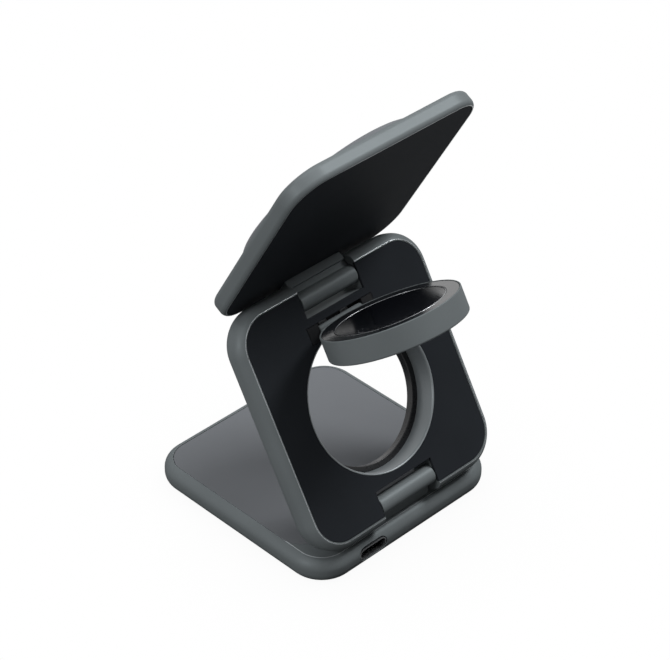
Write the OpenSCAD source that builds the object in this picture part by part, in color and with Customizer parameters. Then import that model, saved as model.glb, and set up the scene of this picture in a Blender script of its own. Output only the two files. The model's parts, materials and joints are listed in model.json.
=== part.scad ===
// Foldable charging stand: a base with an earbud pad, a leaning arm with a
// swing-out watch charger, and a tilting phone panel with a raised round pad.
// The origin is the centre of the base's underside. +Z is up, the phone faces -Y.

/* [Base] */
// Width of the base
base_w = 62; // [60.5:0.5:76]
// Depth of the base
base_d = 62.3; // [60:0.1:76]
// Height of the base's top over the surface it stands on
base_h = 6.8; // [6.6:0.1:9]
// Corner radius of the base, seen from above
base_corner = 9.2; // [8:0.1:13]
// Radius round the top edge of the base
base_top_round = 2; // [1:0.1:2.4]
// Radius round the lower edge of the base
base_low_round = 3; // [2:0.1:3.2]
// Wall round the inside of the base
base_wall = 3; // [2.4:0.1:3.6]
// Thickness of the deck under the earbud pad
deck_t = 1.2; // [0.8:0.1:1.4]
// How far the rubber foot stands below the base
foot_proud = 0.6; // [0.4:0.1:0.8]
// Inset of the rubber foot from the outline of the base
foot_inset = 2.2; // [1.8:0.1:5]
// Thickness of the bottom cover
cover_t = 1.2; // [0.9:0.1:1.4]
// Distance from a cover screw to the sides of the base
cover_screw_inset = 8; // [7:0.5:10]
// Distance from a cover screw to the front and rear of the base
cover_screw_inset_y = 11; // [9:0.5:13]

/* [Earbud pad] */
// Thickness of the earbud pad
bud_pad_t = 0.8; // [0.5:0.1:1]
// Margin between the pad and the outline of the base
bud_pad_margin = 2.4; // [2.2:0.1:4]
// Corner radius of the pad
bud_pad_corner = 6.8; // [3:0.1:9]
// Depth of the bare land behind the pad
land_d = 9.2; // [8.6:0.1:12]
// Outer radius of the earbud coil
bud_coil_r = 13; // [9:0.5:14]
// Radius of the hole in the earbud coil
bud_coil_hole_r = 6; // [3:0.5:7]
// Thickness of each charging coil
coil_t = 0.8; // [0.5:0.1:1]
// Thickness of each ferrite sheet
ferrite_t = 0.6; // [0.4:0.1:0.8]
// Gap between the base's circuit board and the screw posts
board_gap = 3; // [1:0.5:4]
// Distance from the front of the base to its circuit board
board_inset = 15.15; // [8:0.05:17]

/* [Charging socket] */
// Distance of the socket from the middle of the base
socket_x = 13; // [12.6:0.1:15]
// Width of the socket's metal shell
socket_w = 8.94; // [8.8:0.02:9.1]
// Height of the socket's metal shell
socket_h = 3.16; // [3:0.02:3.3]
// Length of the socket's metal shell
socket_len = 7.4; // [6.5:0.1:8]
// Wall of the socket's metal shell
socket_wall = 0.3; // [0.2:0.05:0.35]
// Width of the contact tongue
tongue_w = 6.7; // [6:0.1:7]
// Thickness of the contact tongue
tongue_t = 0.7; // [0.5:0.05:0.9]
// Length of the block that the tongue grows from
tongue_root = 2; // [1.4:0.1:2.6]
// How far the tongue stays behind the shell's mouth
tongue_sink = 1.4; // [1:0.1:2]

/* [Arm] */
// Width of the arm
arm_w = 61.9; // [58:0.1:68]
// Height of the arm from end to end
arm_h = 63.2; // [62.4:0.1:70]
// Thickness of the arm
arm_t = 8.2; // [7.8:0.1:10]
// Corner radius of the arm
arm_corner = 9.9; // [8.6:0.1:13]
// Radius of the arm's side walls towards its back
arm_back_round = 3; // [2:0.1:3.2]
// How much of that rounding the arm's flat back cuts away
arm_back_cut = 0.32; // [0.1:0.02:0.6]
// Radius round the front edge of the arm
arm_front_round = 4.2; // [2:0.1:4.4]
// Lean of the arm towards the front, from upright
arm_lean = 30.6; // [20:0.1:34]
// Thickness of the black back panels
back_panel_t = 0.8; // [0.6:0.1:1]
// Width of the flat metal rim round each back panel
rim_flat = 0.4; // [0.3:0.05:0.6]
// Seam round each inset panel
seam = 0.12; // [0.08:0.01:0.2]

/* [Watch seat] */
// Bar of the arm below the round hole
arm_low_bar = 10.85; // [10.45:0.05:11.6]
// Bar of the arm above the round hole
arm_high_bar = 13.55; // [13.2:0.05:14.4]
// Wall of the metal ring that lines the hole
ring_wall = 0.5; // [0.4:0.05:0.6]
// Depth of the shoulder that the watch charger rests on
seat_depth = 6; // [5.8:0.1:6.4]
// Gap between the watch charger and the lining ring
seat_gap = 1.2; // [0.9:0.1:1.6]
// Width of the shoulder under the charger's edge
seat_rest = 0.4; // [0.3:0.1:2]

/* [Hinges] */
// Radius of the two hinge barrels
barrel_r = 2.45; // [2.2:0.05:2.8]
// Length of the two hinge barrels
barrel_len = 18.3; // [14:0.1:20]
// Side gap between a barrel and its notch
notch_gap = 0.3; // [0.2:0.05:0.5]
// Depth of the notches in the two ends of the arm
notch_d = 8.65; // [8.3:0.05:9.6]
// Radius of the two large hinge pins
pin_r = 1; // [0.8:0.05:1.2]
// Length of a pin in each cheek of the arm
pin_grip = 8; // [5:0.5:10]
// Running gap round every hinge pin
running_gap = 0.05; // [0.03:0.01:0.08]
// Small chamfer on the ends of the barrels
barrel_chamfer = 0.25; // [0.1:0.05:0.4]
// Distance from the base's rear edge to its hinge axis
base_hinge_inset = 3.05; // [3:0.05:3.6]
// Distance from the arm's lower end to the base hinge axis
arm_tail = 4.5; // [4.2:0.05:4.8]
// Distance from the arm's upper end to the phone hinge axis
arm_head = 4.75; // [4.4:0.05:5.1]
// Gap between the base and the arm when folded flat
base_fold_gap = 0.55; // [0.4:0.05:1.5]
// Thickness of the web that carries each barrel
web_t = 2.4; // [2:0.1:2.8]
// Width of the foot that anchors the base knuckle
anchor_w = 15; // [13:0.5:15.5]

/* [Phone panel] */
// How far the phone panel's sides stand inside the arm's
phone_side_step = 1.3; // [0:0.05:2]
// Height of the phone panel
phone_h = 60.3; // [59.5:0.1:66]
// Thickness of the phone panel
phone_t = 4.5; // [4.3:0.1:5.5]
// Corner radius of the phone panel
phone_corner = 9.1; // [7:0.1:12]
// Radius of the phone panel's side walls towards its back
phone_back_round = 1.5; // [0.8:0.1:1.8]
// How much of that rounding the panel's flat back cuts away
phone_back_cut = 0.2; // [0.1:0.02:0.4]
// Radius round the front edge of the phone panel
phone_front_round = 1.4; // [1:0.1:2.1]
// Lean of the phone panel towards the back, from upright
phone_lean = 29.9; // [20:0.1:34]
// Distance from the panel's lower end to its hinge axis
phone_tail = 3.3; // [3:0.05:3.4]
// Gap between the arm and the phone panel when folded flat
phone_fold_gap = 3.45; // [3.2:0.05:4.5]
// Wall round the inside of the phone panel
phone_wall = 2.4; // [2.1:0.1:3]
// Front wall of the phone panel
phone_front_wall = 1; // [0.8:0.1:1.2]
// Margin between the raised round pad and the nearest sides of the panel
pad_margin = 2.8; // [2.2:0.1:3.4]
// Height of the raised pad over the panel's front
pad_proud = 2; // [1.8:0.1:2.6]
// Radius round the edge of the raised pad
pad_round = 1.7; // [0.6:0.1:1.75]
// Thickness of the pad's skin
pad_skin = 0.8; // [0.6:0.1:0.9]
// Number of magnets in the ring
magnet_count = 16; // [8:1:24]
// Margin of the magnet ring inside the raised pad
magnet_margin = 2.2; // [2.1:0.1:3.2]
// Width of the magnet ring
magnet_ring_w = 3; // [2:0.1:3.2]
// Gap between the magnet ring and the phone coil
phone_coil_gap = 1.6; // [1.1:0.1:4]
// Height of the foot block on the phone panel's back
foot_block_h = 2.2; // [1.6:0.1:2.8]
// Depth of the foot block up the phone panel
foot_block_d = 4.24; // [3.6:0.02:4.6]
// How far the foot block stands above its tenon
foot_block_over = 0.14; // [0.1:0.02:0.4]
// Depth of the tenon that passes through the back panel
tenon_h = 1.7; // [1.2:0.1:2]
// Width of the circuit board in the phone panel
phone_board_w = 36; // [30:1:40]
// Height of the circuit board in the phone panel
phone_board_d = 28.8; // [24:0.2:32]
// How far the phone panel's circuit board lies above its middle
phone_board_shift = 4; // [3:0.5:6]

/* [Watch charger] */
// Thickness of the watch charger
watch_t = 6.3; // [6:0.1:6.3]
// Distance from the charger's edge to its hinge axis
lug_reach = 2.4; // [2.3:0.1:2.9]
// Height of the charging face over the watch hinge axis
watch_top = 1.35; // [1.3:0.05:1.5]
// How far the closed charger stands out of the arm's back
watch_proud = 0.4; // [0.35:0.05:0.6]
// Width of the dark ring round the dish
bezel_w = 3.3; // [2.5:0.1:5]
// Depth of the hollow in the dish
dish_depth = 0.9; // [0.4:0.1:1]
// Width of the thin trim ring round the dish
trim_w = 0.3; // [0.2:0.05:0.5]
// Width of the bright rim round the dark ring
rim_w = 0.4; // [0.3:0.05:0.6]
// Wall of the charger's housing
watch_wall = 1.3; // [1:0.1:1.5]
// Margin of the watch coil inside the edge of the dish
watch_coil_margin = 2.7; // [1.7:0.1:5]
// Radius of the centre magnet
watch_magnet_r = 4; // [3:0.1:4.5]
// Width of the lug that carries the charger
lug_w = 14; // [10:0.5:14.5]
// Distance from the watch hinge axis to the bracket's upper edge
bracket_over = 2.2; // [1.8:0.1:2.6]
// Distance from the watch hinge axis to the bracket's lower edge
bracket_under = 2; // [1.6:0.1:2.2]
// Depth of the bracket's floor under the arm's back
bracket_floor = 3; // [2.9:0.1:3.2]
// Thickness of the bracket's floor
bracket_floor_t = 1.4; // [1.2:0.1:1.8]
// Distance from the watch hinge axis to the bracket's screws
bracket_screw_over = 1; // [0.8:0.1:1.2]
// Radius of the lug's round end
lug_r = 1.3; // [1.1:0.05:1.35]
// Radius of the watch hinge pin
small_pin_r = 0.6; // [0.4:0.05:0.65]
// Width of each cheek of the watch bracket
cheek_w = 3.4; // [2.5:0.1:4]

/* [Fasteners] */
// Radius of the small screws' shanks
screw_r = 0.7; // [0.5:0.05:0.8]
// Radius of the small screws' heads
screw_head_r = 1.25; // [1.1:0.05:1.4]
// Height of the small screws' heads
screw_head_h = 0.5; // [0.3:0.05:0.6]
// Gap round a screw in its hole
screw_gap = 0.06; // [0.04:0.01:0.1]

/* [Hidden] */
$fn = 72;
over = 1;             // how far a cutting solid runs past a face
cover_gap = 0.15;     // gap round the bottom cover and loose inner parts
board_t = 0.6;        // thickness of the circuit boards
board_corner = 1.5;   // corner radius of the circuit boards
gunmetal = [0.37, 0.39, 0.4];
satin_grey = [0.4, 0.41, 0.43];
black = [0.13, 0.13, 0.14];
copper = [0.72, 0.42, 0.24];
steel = [0.62, 0.63, 0.65];
board_green = [0.08, 0.28, 0.17];

// Heights in the base
deck_z = base_h - bud_pad_t - deck_t;
cover_top = foot_proud + cover_t;
bud_pad_d = base_d - land_d - bud_pad_margin;
bud_pad_w = base_w - 2 * bud_pad_margin;
bud_pad_y = bud_pad_margin / 2 - land_d / 2;
socket_z = cover_top + board_t + socket_h / 2;
board_front = board_inset - base_d / 2;

// Round hole, watch charger and panel widths, which follow the arm
ring_r = (arm_h - arm_low_bar - arm_high_bar) / 2;
seat_height = arm_low_bar + ring_r;
watch_r = ring_r - ring_wall - seat_gap;
lip_r = watch_r - seat_rest;
watch_reach = watch_r + lug_reach;
dish_r = watch_r - rim_w - bezel_w - trim_w;
watch_coil_r = dish_r - watch_coil_margin;
phone_w = arm_w - 2 * phone_side_step;
pad_r = min(phone_w, phone_h) / 2 - pad_margin;
magnet_r = pad_r - magnet_margin;
phone_coil_r = magnet_r - magnet_ring_w - phone_coil_gap;

// Hinge axes. The arm's own frame has its origin on the base hinge axis, +Y out of
// the arm's back and +Z up the arm. The phone panel's frame is the same at its axis.
hinge_y = base_d / 2 - base_hinge_inset;
hinge_z = base_h + base_fold_gap + arm_t - barrel_r;
hinge_span = arm_h - arm_tail - arm_head;
phone_standoff = barrel_r + phone_fold_gap;
seat_z = seat_height - arm_tail;
watch_axis_y = barrel_r + watch_proud - watch_top;
watch_axis_z = seat_z + watch_reach;
arm_mid = arm_h / 2 - arm_tail;
phone_mid = phone_h / 2 - phone_tail;
notch_w = barrel_len + 2 * notch_gap;
bore_r = ring_r - ring_wall;

// Distance from a plate's widest outline to the outline of its flat back
function back_inset(r, cut) = r - sqrt(r * r - (r - cut) * (r - cut));
arm_rim = back_inset(arm_back_round, arm_back_cut) + rim_flat;
phone_rim = back_inset(phone_back_round, phone_back_cut) + rim_flat;

// Watch bracket and its pocket, measured in the plane of the arm's back
front_skin = 0.5;     // least wall left in front of a screw hole
bracket_w = lug_w + 2 * notch_gap + 2 * cheek_w;
bracket_top = watch_axis_z + bracket_over;
bracket_low = watch_axis_z - bracket_under;
bracket_depth = bracket_floor + bracket_floor_t;
watch_axis_depth = barrel_r - watch_axis_y;

module on_arm() {
    translate([0, hinge_y, hinge_z]) rotate([arm_lean, 0, 0]) children();
}

module on_phone() {
    on_arm() translate([0, 0, hinge_span]) rotate([-arm_lean - phone_lean, 0, 0]) children();
}

module on_watch() {
    on_arm() translate([0, watch_axis_y, watch_axis_z]) children();
}

// The plane of the arm's back: X across, Y up the arm, Z into the arm
module in_arm_face() {
    on_arm() translate([0, barrel_r, 0]) rotate([90, 0, 0]) children();
}

// The plane of the phone panel's back: X across, Y up the panel, Z towards the front
module in_phone_face() {
    on_phone() translate([0, -phone_standoff, 0]) rotate([90, 0, 0]) children();
}

// The charger's own axis, from its underside up
module in_watch() {
    on_watch() translate([0, watch_reach, watch_top - watch_t]) children();
}

// A cylinder along X, centred on the origin
module cross_bar(r, len) {
    rotate([0, 90, 0]) cylinder(h = len, r = r, center = true);
}

module at_pair(x) {
    for (side = [-1, 1]) translate([side * x, 0, 0]) children();
}

module tube(r_out, r_in, h) {
    difference() {
        cylinder(h = h, r = r_out);
        translate([0, 0, -over]) cylinder(h = h + 2 * over, r = r_in);
    }
}

module rounded_rect(w, d, r) {
    square([w - 2 * r, d], center = true);
    square([w, d - 2 * r], center = true);
    for (x = [-1, 1], y = [-1, 1]) translate([x * (w / 2 - r), y * (d / 2 - r)]) circle(r);
}

module plain_plate(w, d, h, r) {
    linear_extrude(h) rounded_rect(w, d, r);
}

// Section through the edge of a plate, from x = 0 inside to x = reach at the edge. The
// lower rounding is cut off by the flat underside, low_cut above its tangent.
module edge_section(reach, h, r_low, r_high, low_cut) {
    low_z = r_low - low_cut;
    intersection() {
        union() {
            square([reach - r_low, low_z]);
            translate([0, low_z]) square([reach, h - low_z - r_high]);
            translate([0, h - r_high]) square([reach - r_high, r_high]);
            translate([reach - r_low, low_z]) circle(r_low);
            translate([reach - r_high, h - r_high]) circle(r_high);
        }
        square([reach, h]);
    }
}

// A rounded square plate whose edges are rounded with r_low below and r_high above
module soft_plate(w, d, h, r, r_low, r_high, low_cut = 0) {
    for (i = [0:3]) {
        corner = [[1, 1], [-1, 1], [-1, -1], [1, -1]][i];
        to_side = i % 2 == 0 ? d / 2 - r : w / 2 - r;
        len = i % 2 == 0 ? w - 2 * r : d - 2 * r;
        translate([corner.x * (w / 2 - r), corner.y * (d / 2 - r), 0]) rotate(90 * i)
            rotate_extrude(angle = 90) edge_section(r, h, r_low, r_high, low_cut);
        rotate(90 * i) translate([0, to_side, 0]) rotate([90, 0, 90])
            linear_extrude(len, center = true) edge_section(r, h, r_low, r_high, low_cut);
    }
    translate([r - w / 2, r - d / 2, 0]) cube([w - 2 * r, d - 2 * r, h]);
}

// A hinge barrel along X with a chamfer on each end
module barrel() {
    half = barrel_len / 2;
    rotate([0, 90, 0]) rotate_extrude() polygon([
        [0, -half], [barrel_r - barrel_chamfer, -half], [barrel_r, barrel_chamfer - half],
        [barrel_r, half - barrel_chamfer], [barrel_r - barrel_chamfer, half], [0, half]]);
}

// A pan-head screw: the head's underside is at z = 0 and the shank points up
module screw(len) {
    cylinder(h = len, r = screw_r);
    translate([0, 0, -screw_head_h]) cylinder(h = screw_head_h, r = screw_head_r);
}

module screw_hole(len) {
    translate([0, 0, -over]) cylinder(h = len + over, r = screw_r + screw_gap);
}

module stadium(w, h) {
    square([w - h, h], center = true);
    for (side = [-1, 1]) translate([side * (w - h) / 2, 0]) circle(h / 2);
}

module socket_bar(w, h, from_y, to_y) {
    translate([socket_x, to_y, socket_z]) rotate([90, 0, 0]) linear_extrude(to_y - from_y) stadium(w, h);
}

// Base
cover_screw_x = base_w / 2 - cover_screw_inset;
cover_screw_y = base_d / 2 - cover_screw_inset_y;
cover_screw_len = 2.6;
post_r = 2;
anchor_front = 6.8;   // reach of the knuckle's foot in front of its web
anchor_t = 1.5;
web_y = hinge_y - barrel_r;
anchor_y = web_y + web_t - anchor_front;
anchor_screw_y = anchor_y + 2;
anchor_screw_x = 5;

module at_cover_screws() {
    for (x = [-1, 1], y = [-1, 1]) translate([x * cover_screw_x, y * cover_screw_y, 0]) children();
}

module at_anchor_screws() {
    translate([0, anchor_screw_y, deck_z - anchor_t]) at_pair(anchor_screw_x) children();
}

module base_shell() {
    inner_r = base_corner - base_wall;
    difference() {
        soft_plate(base_w, base_d, base_h, base_corner, base_low_round, base_top_round);
        translate([0, 0, foot_proud - base_h]) plain_plate(base_w, base_d, base_h, base_corner);
        translate([0, bud_pad_y, base_h - bud_pad_t])
            plain_plate(bud_pad_w + 2 * seam, bud_pad_d + 2 * seam, base_h, bud_pad_corner + seam);
        translate([0, 0, foot_proud - over])
            plain_plate(base_w - 2 * base_wall, base_d - 2 * base_wall, deck_z - foot_proud + over, inner_r);
    }
    translate([0, 0, cover_top]) at_cover_screws() cylinder(h = deck_z - cover_top + deck_t / 2, r = post_r);
}

module base_housing() {
    color(gunmetal) difference() {
        base_shell();
        translate([0, 0, cover_top]) at_cover_screws() screw_hole(cover_screw_len);
        at_anchor_screws() screw_hole(anchor_t + deck_t);
        translate([-anchor_w / 2 - seam, web_y - seam, 0]) cube([anchor_w + 2 * seam, web_t + 2 * seam, 2 * base_h]);
        socket_bar(socket_w + 4 * seam, socket_h + 4 * seam, base_d / 2 - socket_len - 1, base_d / 2 + over);
    }
}

module base_pad() {
    color(satin_grey) translate([0, bud_pad_y, base_h - bud_pad_t])
        plain_plate(bud_pad_w, bud_pad_d, bud_pad_t, bud_pad_corner);
}

module base_cover() {
    inset = base_wall + cover_gap;
    color(black) difference() {
        translate([0, 0, foot_proud])
            plain_plate(base_w - 2 * inset, base_d - 2 * inset, cover_t, base_corner - inset);
        translate([0, 0, foot_proud]) at_cover_screws() {
            screw_hole(cover_t + over);
            translate([0, 0, -over]) cylinder(h = screw_head_h + over, r = screw_head_r + screw_gap);
        }
    }
}

module foot_pad() {
    color(black) plain_plate(base_w - 2 * foot_inset, base_d - 2 * foot_inset, foot_proud,
        base_corner - foot_inset);
}

module earbud_coil() {
    color(copper) translate([0, bud_pad_y, deck_z - coil_t]) tube(bud_coil_r, bud_coil_hole_r, coil_t);
}

module earbud_ferrite() {
    side = 2 * bud_coil_r + 2;
    color(black) translate([0, bud_pad_y, deck_z - coil_t - ferrite_t]) plain_plate(side, side, ferrite_t, 2);
}

module base_board() {
    rear = base_d / 2 - base_wall - 2 * cover_gap;
    color(board_green) translate([0, (rear + board_front) / 2, cover_top])
        plain_plate(2 * (cover_screw_x - post_r - board_gap), rear - board_front, board_t, board_corner);
}

module usb_c_shell() {
    mouth = base_d / 2 - 2 * seam;
    inner_w = socket_w - 2 * socket_wall;
    inner_h = socket_h - 2 * socket_wall;
    color(steel) difference() {
        socket_bar(socket_w, socket_h, mouth - socket_len, mouth);
        socket_bar(inner_w, inner_h, mouth - socket_len - over, mouth + over);
    }
}

module usb_c_tongue() {
    back = base_d / 2 - 2 * seam - socket_len;
    fit = 2 * socket_wall + 2 * screw_gap;
    color(black) {
        socket_bar(socket_w - fit, socket_h - fit, back, back + tongue_root);
        translate([socket_x - tongue_w / 2, back + tongue_root / 2, socket_z - tongue_t / 2])
            cube([tongue_w, socket_len - tongue_root / 2 - tongue_sink, tongue_t]);
    }
}

module base_knuckle() {
    color(gunmetal) difference() {
        union() {
            translate([0, hinge_y, hinge_z]) barrel();
            translate([-barrel_len / 2, web_y, base_h]) cube([barrel_len, web_t, hinge_z - base_h]);
            translate([-anchor_w / 2, web_y, deck_z - anchor_t]) cube([anchor_w, web_t, base_h + anchor_t - deck_z]);
            translate([-anchor_w / 2, anchor_y, deck_z - anchor_t]) cube([anchor_w, anchor_front, anchor_t]);
        }
        translate([0, hinge_y, hinge_z]) cross_bar(pin_r + running_gap, barrel_len + over);
        at_anchor_screws() screw_hole(anchor_t + over);
    }
}

module knuckle_screws() {
    color(steel) at_anchor_screws() screw(anchor_t + deck_t - 0.2);
}

module cover_screws() {
    color(steel) translate([0, 0, foot_proud + screw_head_h]) at_cover_screws() screw(cover_screw_len);
}

// Arm
module arm_notches(w) {
    for (end = [-arm_tail - over, arm_h - arm_tail - notch_d])
        translate([-w / 2, end, -over]) cube([w, notch_d + over, arm_t + 2 * over]);
}

module bracket_outline(gap) {
    difference() {
        translate([-bracket_w / 2 - gap, bracket_low - gap])
            square([bracket_w + 2 * gap, bracket_top - bracket_low + 2 * gap]);
        translate([0, seat_z]) circle(ring_r + seam - gap);
    }
}

module lug_slot() {
    half = lug_w / 2 + notch_gap;
    translate([-half, seat_z, -over]) cube([2 * half, watch_reach, bracket_floor + over]);
}

flex_w = 3;
flex_t = 0.3;
flex_x = (ring_r + arm_w / 2) / 2;    // the flat cable runs midway between the hole and the arm's side
flex_end = 2;                         // gap between the cable's ends and the notches
module flex_route(gap) {
    inner_x = notch_w / 2 + flex_end;
    low = notch_d - arm_tail - flex_w;
    high = arm_h - arm_tail - notch_d;
    w = flex_w + 2 * gap;
    translate([-flex_x - w / 2, low - gap]) square([w, high - low + w]);
    for (y = [low, high]) translate([-flex_x, y - gap]) square([flex_x - inner_x + gap, w]);
}

module arm_frame() {
    color(gunmetal) in_arm_face() difference() {
        translate([0, arm_mid, 0])
            soft_plate(arm_w, arm_h, arm_t, arm_corner, arm_back_round, arm_front_round, arm_back_cut);
        translate([0, arm_mid, -over]) plain_plate(arm_w - 2 * arm_rim, arm_h - 2 * arm_rim,
            back_panel_t + over, arm_corner - arm_rim);
        translate([0, seat_z, -over]) cylinder(h = arm_t + 2 * over, r = ring_r + screw_gap);
        arm_notches(notch_w);
        for (y = [0, hinge_span])
            translate([0, y, barrel_r]) cross_bar(pin_r + running_gap, notch_w + 2 * pin_grip + 2 * cover_gap);
        translate([0, 0, -over]) linear_extrude(bracket_depth + over) bracket_outline(seam);
        lug_slot();
        translate([0, 0, back_panel_t - seam]) linear_extrude(flex_t + 2 * seam) flex_route(seam);
        translate([0, watch_axis_z + bracket_screw_over, bracket_floor]) at_pair(lug_w / 4)
            screw_hole(arm_t - bracket_floor_t - bracket_floor);
    }
}

module arm_back_panel() {
    rim = arm_rim + seam;
    color(black) in_arm_face() difference() {
        translate([0, arm_mid, 0])
            plain_plate(arm_w - 2 * rim, arm_h - 2 * rim, back_panel_t, arm_corner - rim);
        translate([0, seat_z, -over]) cylinder(h = arm_t, r = ring_r + seam);
        arm_notches(notch_w);
        translate([0, 0, -over]) linear_extrude(bracket_depth) bracket_outline(seam);
        lug_slot();
    }
}

module bore_ring() {
    color(satin_grey) in_arm_face() difference() {
        translate([0, seat_z, 0]) rotate_extrude() polygon([
            [ring_r, 0], [ring_r, seat_depth], [bore_r, seat_depth], [bore_r, ring_wall], [ring_r - 0.1, 0]]);
        lug_slot();
    }
}

module seat_lip() {
    ridge = 0.25;
    color(black) in_arm_face() translate([0, seat_z, 0]) rotate_extrude() polygon([
        [ring_r, seat_depth], [ring_r, arm_t], [lip_r, arm_t], [lip_r, seat_depth + ridge], [lip_r + ridge, seat_depth]]);
}

module arm_flex() {
    color([0.55, 0.33, 0.12]) in_arm_face() translate([0, 0, back_panel_t]) linear_extrude(flex_t)
        flex_route(0);
}

module base_hinge_pin() {
    color(steel) on_arm() cross_bar(pin_r, notch_w + 2 * pin_grip);
}

module phone_hinge_pin() {
    color(steel) on_arm() translate([0, 0, hinge_span]) cross_bar(pin_r, notch_w + 2 * pin_grip);
}

module watch_bracket() {
    half = lug_w / 2 + notch_gap;
    color(black) in_arm_face() difference() {
        linear_extrude(bracket_depth) bracket_outline(0);
        translate([-half, bracket_low - over, -over])
            cube([2 * half, bracket_top - bracket_low + 2 * over, bracket_floor + over]);
        translate([0, watch_axis_z, watch_axis_depth])
            cross_bar(small_pin_r + running_gap, bracket_w - 2 * screw_gap - 1);
        translate([0, watch_axis_z + bracket_screw_over, bracket_floor]) at_pair(lug_w / 4) {
            screw_hole(arm_t);
            translate([0, 0, -over]) cylinder(h = over + screw_head_h, r = screw_head_r + screw_gap);
        }
    }
}

module bracket_screws() {
    color(steel) in_arm_face() translate([0, watch_axis_z + bracket_screw_over, bracket_floor + screw_head_h])
        at_pair(lug_w / 4) screw(arm_t - bracket_depth - 2 * screw_head_h - front_skin);
}

module watch_hinge_pin() {
    color(steel) on_watch() cross_bar(small_pin_r, bracket_w - 1.4);
}

// Phone panel
cavity_z = phone_t - phone_front_wall;
spigot_r = pad_r - 1.4;
spigot_wall = 0.5;
spigot_d = phone_front_wall;
pad_inside = phone_t + pad_proud - pad_skin;
plate_t = 1.4;        // flange that holds the phone knuckle inside the panel
plate_low = 0;
plate_high = 7;
plate_w = 30.6;
tenon_w = 16;
flange_screw_x = 13.1;
flange_screw_y = 1.8;

module at_flange_screws() {
    translate([0, flange_screw_y, 0]) at_pair(flange_screw_x) children();
}

module phone_frame() {
    inner_w = phone_w - 2 * phone_wall;
    inner_h = phone_h - 2 * phone_wall;
    inner_r = phone_corner - phone_wall;
    color(gunmetal) in_phone_face() {
        difference() {
            translate([0, phone_mid, 0])
                soft_plate(phone_w, phone_h, phone_t, phone_corner, phone_back_round, phone_front_round,
                    phone_back_cut);
            translate([0, phone_mid, -over]) plain_plate(phone_w - 2 * phone_rim, phone_h - 2 * phone_rim,
                back_panel_t + over, phone_corner - phone_rim);
            translate([0, phone_mid, 0]) plain_plate(inner_w, inner_h, cavity_z, inner_r);
            translate([0, phone_mid, 0]) cylinder(h = phone_t + over, r = spigot_r + cover_gap);
        }
        difference() {
            at_flange_screws() translate([0, 0, back_panel_t + plate_t])
                cylinder(h = cavity_z - back_panel_t - plate_t + phone_front_wall / 2, r = post_r);
            at_flange_screws() translate([0, 0, back_panel_t]) screw_hole(plate_t + 1.2);
        }
    }
}

module phone_back_panel() {
    rim = phone_rim + seam;
    color(black) in_phone_face() difference() {
        translate([0, phone_mid, 0])
            plain_plate(phone_w - 2 * rim, phone_h - 2 * rim, back_panel_t, phone_corner - rim);
        translate([-tenon_w / 2 - seam, plate_low - seam, -over])
            cube([tenon_w + 2 * seam, tenon_h + 2 * seam, back_panel_t + 2 * over]);
    }
}

module phone_pad() {
    top = phone_t + pad_proud;
    color(satin_grey) in_phone_face() translate([0, phone_mid, 0]) rotate_extrude() difference() {
        union() {
            translate([0, phone_t]) square([pad_r, pad_proud - pad_round]);
            translate([0, phone_t]) square([pad_r - pad_round, pad_proud]);
            translate([pad_r - pad_round, top - pad_round]) intersection() {
                circle(pad_round);
                square(pad_round);
            }
            translate([0, phone_t - spigot_d]) square([spigot_r, spigot_d]);
        }
        square([spigot_r - spigot_wall, pad_inside]);
    }
}

module phone_magnets() {
    h = pad_inside - cavity_z;
    gap_angle = 3;
    step = 360 / magnet_count;
    color(steel) in_phone_face() translate([0, phone_mid, cavity_z]) for (i = [0:magnet_count - 1])
        rotate(90 + step * (i + 0.5) - (step - gap_angle) / 2) rotate_extrude(angle = step - gap_angle)
            translate([magnet_r - magnet_ring_w, 0]) square([magnet_ring_w, h]);
}

module phone_coil() {
    color(copper) in_phone_face() translate([0, phone_mid, pad_inside - coil_t])
        tube(phone_coil_r, phone_coil_r * 0.45, coil_t);
}

module phone_ferrite() {
    color(black) in_phone_face() translate([0, phone_mid, pad_inside - coil_t - ferrite_t])
        cylinder(h = ferrite_t, r = phone_coil_r + 0.8);
}

module phone_board() {
    color(board_green) in_phone_face() translate([0, phone_mid + phone_board_shift, back_panel_t])
        plain_plate(phone_board_w, phone_board_d, board_t, board_corner);
}

module phone_knuckle() {
    block_low = tenon_h + foot_block_over - foot_block_d;
    color(gunmetal) difference() {
        union() {
            on_phone() barrel();
            in_phone_face() {
                translate([-barrel_len / 2, block_low, -foot_block_h])
                    cube([barrel_len, foot_block_d, foot_block_h]);
                translate([-barrel_len / 2, block_low, -phone_standoff])
                    cube([barrel_len, web_t + 1.2, phone_standoff]);
                translate([-tenon_w / 2, plate_low, -foot_block_h])
                    cube([tenon_w, tenon_h, foot_block_h + back_panel_t + plate_t]);
                translate([-plate_w / 2, plate_low, back_panel_t])
                    cube([plate_w, plate_high - plate_low, plate_t]);
            }
        }
        on_phone() cross_bar(pin_r + running_gap, barrel_len + over);
        in_phone_face() at_flange_screws() translate([0, 0, back_panel_t]) {
            screw_hole(plate_t + over);
            translate([0, 0, -over]) cylinder(h = over + screw_head_h, r = screw_head_r + screw_gap);
        }
    }
}

module phone_knuckle_screws() {
    color(steel) in_phone_face() at_flange_screws() translate([0, 0, back_panel_t + screw_head_h])
        screw(plate_t + 0.6 - screw_head_h);
}

// Watch charger, in its own frame: Z = 0 at the underside
cap_t = 0.8;
floor_t = 0.8;
bezel_t = 0.8;
bezel_sink = 0.1;     // how far the dark ring lies below the bright rim
bezel_r = watch_r - rim_w;
bezel_z = watch_t - bezel_sink - bezel_t;
board_z = cap_t + floor_t;
magnet_z = board_z + board_t;
dish_edge = watch_t - bezel_sink - 0.1;
dish_low = dish_edge - dish_depth - 0.6;
cap_r = watch_r - 0.8;

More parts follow.
